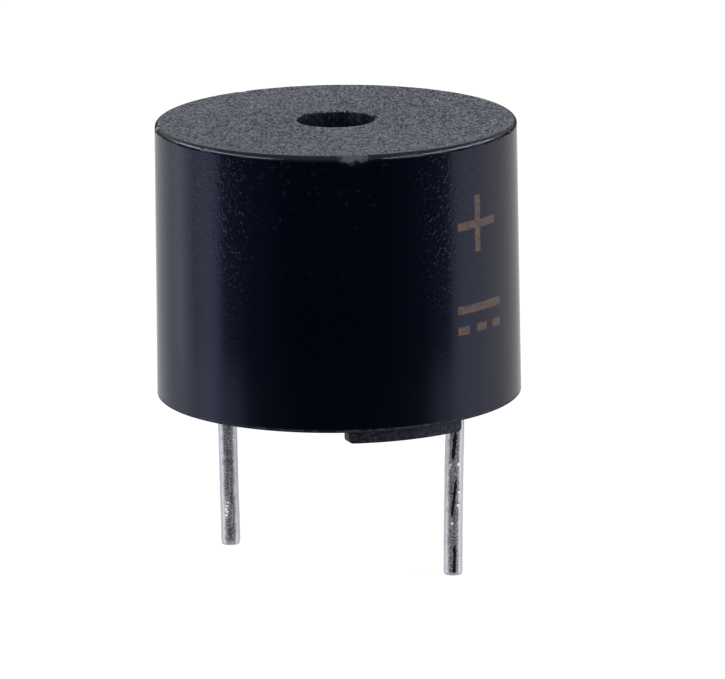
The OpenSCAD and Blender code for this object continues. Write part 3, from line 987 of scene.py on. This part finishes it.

# %% [markdown]
# ### Tinned wire
#
# The wire is drawn steel with a thin coat of tin. Tin mirrors the room, so a pin
# shows bright edges, where it faces the walls, and a darker middle, where it
# faces the dark front of the room. The coat is not even: it freezes in small
# grains, which mottle it and dull it a little. Where the cutting tool slid along
# the long pin it left smooth, narrow streaks. They mirror the dark front cleanly,
# so they look black. The frozen drops are bumps of tin with painted glints: each
# is coloured white and made not metallic.

# %% Tinned wire: streaks, and drops with painted glints
# The white is a painted glint on the drops of tin.
TIN, DULL_TIN, GLINT_WHITE = (0.78, 0.78, 0.79), (0.74, 0.77, 0.88), (1, 1, 1)
SHINY, DULL = 0.97, 0.62  # how metallic the clear and the mottled tin are
COATED, SLID = 0.22, 0.1  # how rough the coat and a streak are
MIDDLE = PIN_X * math.cos(VIEW_TURN)  # the long pin's middle, across the view
STREAKS = [  # from and to, each a height and a place across the view; half its width
    ((-0.75, MIDDLE + 0.05), (-2.0, MIDDLE - 0.07), 0.075),
    ((-2.3, MIDDLE + 0.07), (-4.0, MIDDLE - 0.15), 0.06),
    ((-4.6, MIDDLE - 0.03), (-5.95, MIDDLE - 0.06), 0.065),
]


def streak(finish, across, height, start, end, width):
    """1 along a straight streak that tapers to both ends."""
    (from_z, from_x), (to_z, to_x) = start, end
    slope = (to_x - from_x) / (to_z - from_z)
    run = maths(finish, "MULTIPLY_ADD", height, slope, from_x - slope * from_z)
    away = maths(finish, "ABSOLUTE", maths(finish, "SUBTRACT", across, run))
    half = abs(to_z - from_z) / 2
    along = maths(finish, "ABSOLUTE", maths(finish, "SUBTRACT", height, (from_z + to_z) / 2))
    tapered = spread(finish, along, half * 0.5, half, width, 0.0)
    return spread(finish, maths(finish, "SUBTRACT", tapered, away), 0.0, 0.02)


def drop_glints(finish, spot, middle_x, drops):
    """1 on the drops of tin of the pin that stands at middle_x, where a white glint is painted.
    """
    white = 0.0
    for aside, height in drops:
        centre = at_bearing(bearing_on_pin(aside), PIN_R, height)
        centre.x += middle_x
        gap = vector_maths(finish, "DISTANCE", {0: spot, 1: centre})
        near = spread(finish, gap, 0.035, 0.06, 1.0, 0.0)
        white = maths(finish, "MAXIMUM", near, white)
    return white


# %% Finish: tinned wire


def tin(name, middle_x, streaks, drops):
    """Mottled tin, with its streaks, and drops with painted white glints, for the pin at
    middle_x.
    """
    finish = new_finish(name, TIN, COATED, SHINY)
    spot = place(finish)
    frozen = cloud(finish, stretch(finish, spot, (1, 1, 0.7)), 0.045, rough=0.6)
    drawn = cloud(finish, stretch(finish, spot, (1, 1, 0.12)), 0.07)
    grain = mottle = mixture(finish, frozen, 0.65, drawn, 0.35)
    # At the drops the tin is coloured white and not metallic: a painted glint.
    white = drop_glints(finish, spot, middle_x, drops)
    shine = spread(finish, mottle, 0.38, 0.62, SHINY, DULL)
    shine = times(finish, shine, spread(finish, white, 0.0, 1.0, 1.0, 0.0))
    if streaks:
        height = coordinate(finish, spot, "Z")
        across = coordinate(finish, turn_to_view(finish, spot), "X")
        shaky = maths(finish, "MULTIPLY_ADD", cloud(finish, spot, 0.12), 0.05, -0.025)
        across = maths(finish, "ADD", across, shaky)
        slid = 0.0
        for start, end, width in streaks:
            one = streak(finish, across, height, start, end, width)
            slid = maths(finish, "MAXIMUM", one, slid)
        shine = highest(finish, shine, slid)
        feed(finish, spread(finish, slid, 0.0, 1.0, COATED, SLID), "Roughness")
        grain = times(finish, mottle, maths(finish, "SUBTRACT", 1.0, slid))
    feed(finish, shine, "Metallic")
    tone = blend(finish, spread(finish, shine, DULL, SHINY, 1.0, 0.0), TIN, DULL_TIN)
    # White at the drops is a painted glint.
    feed(finish, blend(finish, white, tone, GLINT_WHITE), "Base Color")
    feed(finish, emboss(finish, grain, 0.0025), "Normal")
    return finish


dress(short_pin, tin("tinned_wire", -PIN_X, [], SHORT_DROPS))
dress(long_pin, tin("streaked_tin", PIN_X, STREAKS, LONG_DROPS))
print("pins dressed, with", len(STREAKS), "streaks on the long one")

# %% [markdown]
# ### Potting resin
#
# Cast resin is a smooth black with a gently wavy surface, and a little pale dust
# sticks to it. It shows only from below.

# %% Finish: potting resin
RESIN_BLACK, DUST_GREY = (0.004, 0.004, 0.0045), (0.05, 0.05, 0.05)
black_resin = new_finish("black_resin", RESIN_BLACK, 0.3)
spot = place(black_resin)
wavy = cloud(black_resin, spot, 1.2)
dust = spread(black_resin, grains(black_resin, spot, 0.5), 0.0, 0.09, 1.0, 0.0)
feed(black_resin, blend(black_resin, dust, RESIN_BLACK, DUST_GREY), "Base Color")
feed(black_resin, spread(black_resin, wavy, 0.3, 0.7, 0.18, 0.4), "Roughness")
feed(black_resin, emboss(black_resin, wavy, 0.02), "Normal")
dress(resin, black_resin)

# %% [markdown]
# ### What is inside
#
# The works don't show in a closed buzzer, but they are seen when it is cut open,
# so each material gets its own finish. Most need only one soft pattern, which
# shifts the colour, the gloss and the height together: where a surface is worn or
# stained it is also duller. What sets them apart is the pattern's direction.
# Rolled steel has long lines, turned metal has rings round its axis, wound wire
# has turns, and glass-fibre board has a weave.

# %% One pattern for colour, gloss and height


def even_out(finish, pattern, dark, light, rough, depth):
    """Feeds a finish's colour, roughness and normal from one pattern."""
    texture(finish, pattern, 0.35, 0.65, dark, light, depth)
    feed(finish, spread(finish, pattern, 0.35, 0.65, *rough), "Roughness")


def mottled(name, dark, light, size, rough, depth, metallic=0.0, along=(1, 1, 1)):
    """A finish with soft patches of a size in mm; rough is a pair, dark and light."""
    finish = new_finish(name, light, rough[0], metallic)
    patches = cloud(finish, stretch(finish, place(finish), along), size, detail=3.0)
    even_out(finish, patches, dark, light, rough, depth)
    return finish


def metal(name, dark, light, size, rough, depth, along=(1, 1, 1)):
    return mottled(name, dark, light, size, rough, depth, 1.0, along)


def wave(finish, value, pitch):
    """0 to 1 and back, once for each pitch, in mm."""
    turns = times(finish, value, 2 * math.pi / pitch)
    return maths(finish, "MULTIPLY_ADD", maths(finish, "SINE", turns), 0.5, 0.5)


# %% Finishes of the metal parts
LINES = (0.04, 1, 1)  # long lines along X
rolled = metal(
    "rolled_spring_steel",
    (0.44, 0.45, 0.46),
    (0.62, 0.63, 0.64),
    0.08,
    (0.42, 0.24),
    0.002,
    LINES,
)
punched = metal(
    "punched_steel", (0.46, 0.47, 0.48), (0.6, 0.61, 0.62), 0.25, (0.4, 0.26), 0.004
)
plated = metal(
    "plated_steel", (0.5, 0.49, 0.46), (0.66, 0.65, 0.62), 0.6, (0.36, 0.2), 0.003
)
foil = metal("copper_foil", (0.5, 0.25, 0.12), (0.75, 0.43, 0.24), 0.3, (0.45, 0.3), 0.003)
tinned = metal("tinned_metal", (0.6, 0.6, 0.59), (0.77, 0.77, 0.76), 0.12, (0.36, 0.2), 0.003)
solder = metal("solder", (0.56, 0.57, 0.58), (0.75, 0.76, 0.77), 0.35, (0.3, 0.12), 0.01)

# %% Finish: turned ring, with the tool's marks round its axis
turned_ring = new_finish("turned_metal", (0.72, 0.73, 0.74), 0.3, 1.0)
spot = place(turned_ring)
flat = stretch(turned_ring, spot, (1, 1, 0))
from_axis = vector_maths(turned_ring, "LENGTH", {0: flat})
rings, patches = wave(turned_ring, from_axis, 0.05), cloud(turned_ring, spot, 0.5)
rings = times(turned_ring, maths(turned_ring, "ADD", rings, patches), 0.5)
even_out(turned_ring, rings, (0.6, 0.61, 0.62), (0.76, 0.77, 0.78), (0.36, 0.22), 0.002)

# %% Finish: enamelled wire, wound in turns
wire = new_finish("enamelled_wire", (0.62, 0.28, 0.1), 0.25, 0.9, {"Coat Weight": 0.6})
spot = place(wire)
turns = wave(wire, coordinate(wire, spot, "Z"), 0.06)
turns = mixture(wire, turns, 0.6, cloud(wire, spot, 0.4), 0.4)
even_out(wire, turns, (0.36, 0.13, 0.04), (0.68, 0.32, 0.12), (0.34, 0.2), 0.004)

# %% Finish: bonded ferrite, with paler grains
ferrite = new_finish("bonded_ferrite", (0.12, 0.115, 0.115), 0.8)
powder = cloud(ferrite, place(ferrite), 0.09)
even_out(ferrite, powder, (0.03, 0.029, 0.03), (0.13, 0.125, 0.125), (0.85, 0.6), 0.015)

# %% Finish: circuit board, green mask over a glass weave
board = new_finish("green_laminate", (0.06, 0.22, 0.1), 0.35, more={"Coat Weight": 0.3})
spot = place(board)
weave = [wave(board, coordinate(board, spot, axis), 0.5) for axis in "XY"]
weave = mixture(board, maths(board, "ADD", *weave), 0.3, cloud(board, spot, 0.8), 0.4)
even_out(board, weave, (0.03, 0.14, 0.06), (0.07, 0.25, 0.12), (0.42, 0.28), 0.006)

# %% Finishes of the other parts
nylon = mottled(
    "natural_nylon", (0.7, 0.66, 0.52), (0.82, 0.79, 0.68), 1.4, (0.5, 0.38), 0.006
)
chip = mottled(
    "moulded_chip", (0.018, 0.018, 0.02), (0.045, 0.045, 0.05), 0.06, (0.7, 0.5), 0.012
)
fired = mottled(
    "fired_ceramic", (0.66, 0.66, 0.62), (0.84, 0.84, 0.81), 0.07, (0.62, 0.45), 0.008
)

# %% Every node from CAD has its finish
INSIDE = [
    (rolled, "diaphragm"),
    (punched, "diaphragm_weight"),
    (turned_ring, "support_ring"),
    (ferrite, "ring_magnet"),
    (plated, "yoke_plate", "core_post"),
    (nylon, "coil_bobbin"),
    (wire, "drive_winding", "sense_winding", "lead_drive", "lead_common", "lead_sense"),
    (board, "circuit_board"),
    (foil, "copper_tracks"),
    (chip, "transistor"),
    (tinned, "transistor_legs", "resistor_caps"),
    (fired, "base_resistor"),
    (solder, "solder_positive", "solder_negative", "solder_leads"),
]
dressed = 0
for finish, *names in INSIDE:
    for name in names:
        dress(nodes[name], finish)
        dressed += 1
print("nodes with a finish:", dressed, "replaced:", len(nodes) - dressed)

# %% [markdown]
# ## The studio
#
# A glossy black drum has hardly any colour of its own: what it shows is the room.
# The room is pale behind and at the sides, and dark in front, behind the camera.
# So the middle of the drum stays black and its sides shine, and the two borders
# on the drum are the edges of the pale walls. The brightness of the walls is
# written as a strip, unrolled from the camera's direction, and it is a little
# cooler at the left and warmer at the right.
#
# The camera looks down, so an upright side mirrors the part of the room just
# below eye level, and the strip is there. Lower down is a grey table. Higher up
# the room is dark, except far behind, and it ends in a grey ceiling, which shows
# in the rounded top edge. Where the pins look, the strip is drawn together
# towards the front and has more contrast, because bright wire shows a bright line
# just inside each outline. Only mirrored light sees all this: for matt surfaces
# the room is one plain grey, and the camera sees white.

# %% Studio: the tones of the room
PLAIN = 0.45  # the room's light on matt surfaces; the lamps give the rest
CEILING_TONE, DARK_TONE, TABLE_TONE = 0.35, 0.04, 0.35
ROOM = [  # degrees from the camera's direction, left negative, and brightness
    (-180, 0.85),
    (-164, 0.58),
    (-146, 0.55),
    (-131, 0.52),
    (-118, 0.85),
    (-103, 0.47),
    (-91, 0.72),
    (-84, 0.62),
    (-80, 0.42),
    (-77, 0.16),
    (-72, 0.1),
    (-60, 0.07),
    (-46, 0.05),
    (-30, 0.01),
    (26, 0.01),
    (42, 0.03),
    (60, 0.06),
    (70, 0.09),
    (75, 0.15),
    (78.5, 0.5),
    (85, 0.7),
    (102, 0.62),
    (114, 0.58),
    (130, 0.52),
    (150, 0.54),
    (164, 0.6),
    (180, 0.85),
]
# Soft borders, as the sine of a direction's angle above eye level
TABLE_END, PINS_LOOK, STRIP_END = (-0.5, -0.4), (-0.25, -0.225), (-0.14, -0.10)
BACK_FROM, CEILING_FROM = (0.13, 0.17), (0.34, 0.46)

# %% Studio: the strip
room = bpy.data.worlds.new("room")
room.use_nodes = True
room.cycles.sampling_method = "NONE"
scene.world = room
backdrop = room.node_tree.nodes["Background"]
direction = add_node(room, "ShaderNodeTexCoord").outputs["Generated"]
rise = coordinate(room, direction, "Z")
bearing = unroll(room, direction)
low_down = spread(room, rise, *PINS_LOOK, 1.0, 0.0)
drawn_in = times(room, bearing, maths(room, "MULTIPLY_ADD", low_down, 0.3, 1.0))
along_strip = maths(room, "MULTIPLY_ADD", drawn_in, 1 / (2 * math.pi), 0.5)
strip = add_node(room, "ShaderNodeValToRGB", {0: along_strip})
stops = strip.color_ramp.elements
while len(stops) > 1:
    stops.remove(stops[-1])
stops[0].position = 0.0
for number, (degrees, bright) in enumerate(ROOM):
    stop = stops[0] if number == 0 else stops.new(degrees / 360 + 0.5)
    stop.color = (bright, bright, bright, 1)
print("stops in the strip:", len(stops))

# %% Studio: the strip's contrast low down, and its warmth
round_about = maths(room, "ABSOLUTE", drawn_in)
brighter = spread(room, round_about, math.radians(75), math.radians(95), 0.0, 0.5)
dimmer = spread(room, round_about, math.radians(120), math.radians(170), 0.0, 0.75)
gain = times(room, maths(room, "SUBTRACT", brighter, dimmer), low_down)
gain = maths(room, "ADD", gain, 1.0)
warmth = blend(room, spread(room, bearing, -0.6, 0.6), (0.99, 1.0, 1.02), (1.04, 1.0, 0.955))
tinted = vector_maths(room, "MULTIPLY", {0: strip.outputs["Color"], 1: warmth})
strip_light = vector_maths(room, "SCALE", {0: tinted, "Scale": gain})

# %% Studio: the whole room, and what sees it
dark, ceiling, table = (DARK_TONE,) * 3, (CEILING_TONE,) * 3, (TABLE_TONE,) * 3
behind = maths(room, "ABSOLUTE", bearing)
behind = spread(room, behind, math.radians(125), math.radians(150))
behind = times(room, behind, spread(room, rise, *BACK_FROM))
walls = blend(room, behind, dark, strip_light)
walls = blend(room, spread(room, rise, *CEILING_FROM), walls, ceiling)
walls = blend(room, spread(room, rise, *STRIP_END), strip_light, walls)
walls = blend(room, spread(room, rise, *TABLE_END), table, walls)
rays = add_node(room, "ShaderNodeLightPath").outputs
lit = blend(room, rays["Is Glossy Ray"], (PLAIN,) * 3, walls)
clear_view = highest(room, rays["Is Camera Ray"], rays["Is Transmission Ray"])
seen = blend(room, clear_view, lit, (1, 1, 1))
room.node_tree.links.new(seen, backdrop.inputs["Color"])
backdrop.inputs["Strength"].default_value = 1.0

# %% [markdown]
# Two long soft boxes at the sides, above the drum, light its top and draw the
# bright line along the rounded edge.

# %% Studio: lamps
LAMP_DISTANCE, LAMP_AIM = 300, 9  # in mm: from the drum, and the height aimed at


def soft_box(name, bearing, elevation, wide_mm, high_mm, brightness):
    """A long area lamp, placed by its bearing from the camera's direction."""
    turn, rise = VIEW_TURN + math.radians(bearing), math.radians(elevation)
    lamp = bpy.data.lights.new(name, "AREA")
    lamp.shape = "RECTANGLE"
    lamp.size, lamp.size_y = wide_mm * MM, high_mm * MM
    lamp.energy = brightness * math.pi * lamp.size * lamp.size_y
    box = bpy.data.objects.new(name, lamp)
    scene.collection.objects.link(box)
    outwards = Vector(
        (math.sin(turn) * math.cos(rise), -math.cos(turn) * math.cos(rise), math.sin(rise))
    )
    box.location = (Vector((0, 0, LAMP_AIM)) + outwards * LAMP_DISTANCE) * MM
    box.rotation_mode = "QUATERNION"
    box.rotation_quaternion = (-outwards).to_track_quat("-Z", "Y")
    print(name, "at", [round(v / MM) for v in box.location], "mm")


soft_box("left_lamp", -84, 26, 520, 100, 4.0)
soft_box("right_lamp", 77, 27, 540, 100, 4.8)

# %% [markdown]
# The floor is a sheet of pale paper at the tip of the longer pin. For the camera
# it is mostly a glow, so that it is as white as the room behind it and still has
# some of the drum's shadow. From below it is clear, so that the resin and the
# feet can be looked at, and glossy surfaces don't mirror it.

# %% Studio: the floor
FLOOR_Z = -LONG_TAIL
GLOW, GLOW_SHARE = 1.12, 0.8
deselect()
bpy.ops.mesh.primitive_plane_add(size=4000 * MM, location=(0, 0, FLOOR_Z * MM))
floor = bpy.context.object
floor.name = "floor"
floor.visible_glossy = False
paper = new_finish("pale_paper", (0.8, 0.8, 0.8), 0.9, more={"Specular IOR Level": 0.0})
glow = add_node(paper, "ShaderNodeEmission", {"Strength": GLOW})
from_camera = add_node(paper, "ShaderNodeLightPath").outputs["Is Camera Ray"]
share = times(paper, from_camera, GLOW_SHARE)
plain = shader_of(paper).outputs[0]
lit = add_node(paper, "ShaderNodeMixShader", {0: share, 1: plain, 2: glow.outputs[0]})
clear = add_node(paper, "ShaderNodeBsdfTransparent")
below = add_node(paper, "ShaderNodeNewGeometry").outputs["Backfacing"]
one_way = add_node(
    paper, "ShaderNodeMixShader", {0: below, 1: lit.outputs[0], 2: clear.outputs[0]}
)
surface = paper.node_tree.nodes["Material Output"].inputs[0]
paper.node_tree.links.new(one_way.outputs[0], surface)
floor.data.materials.append(paper)

# %% [markdown]
# ## The end
#
# The picture keeps its colours as they are written.

# %% View
scene.view_settings.view_transform = "Standard"
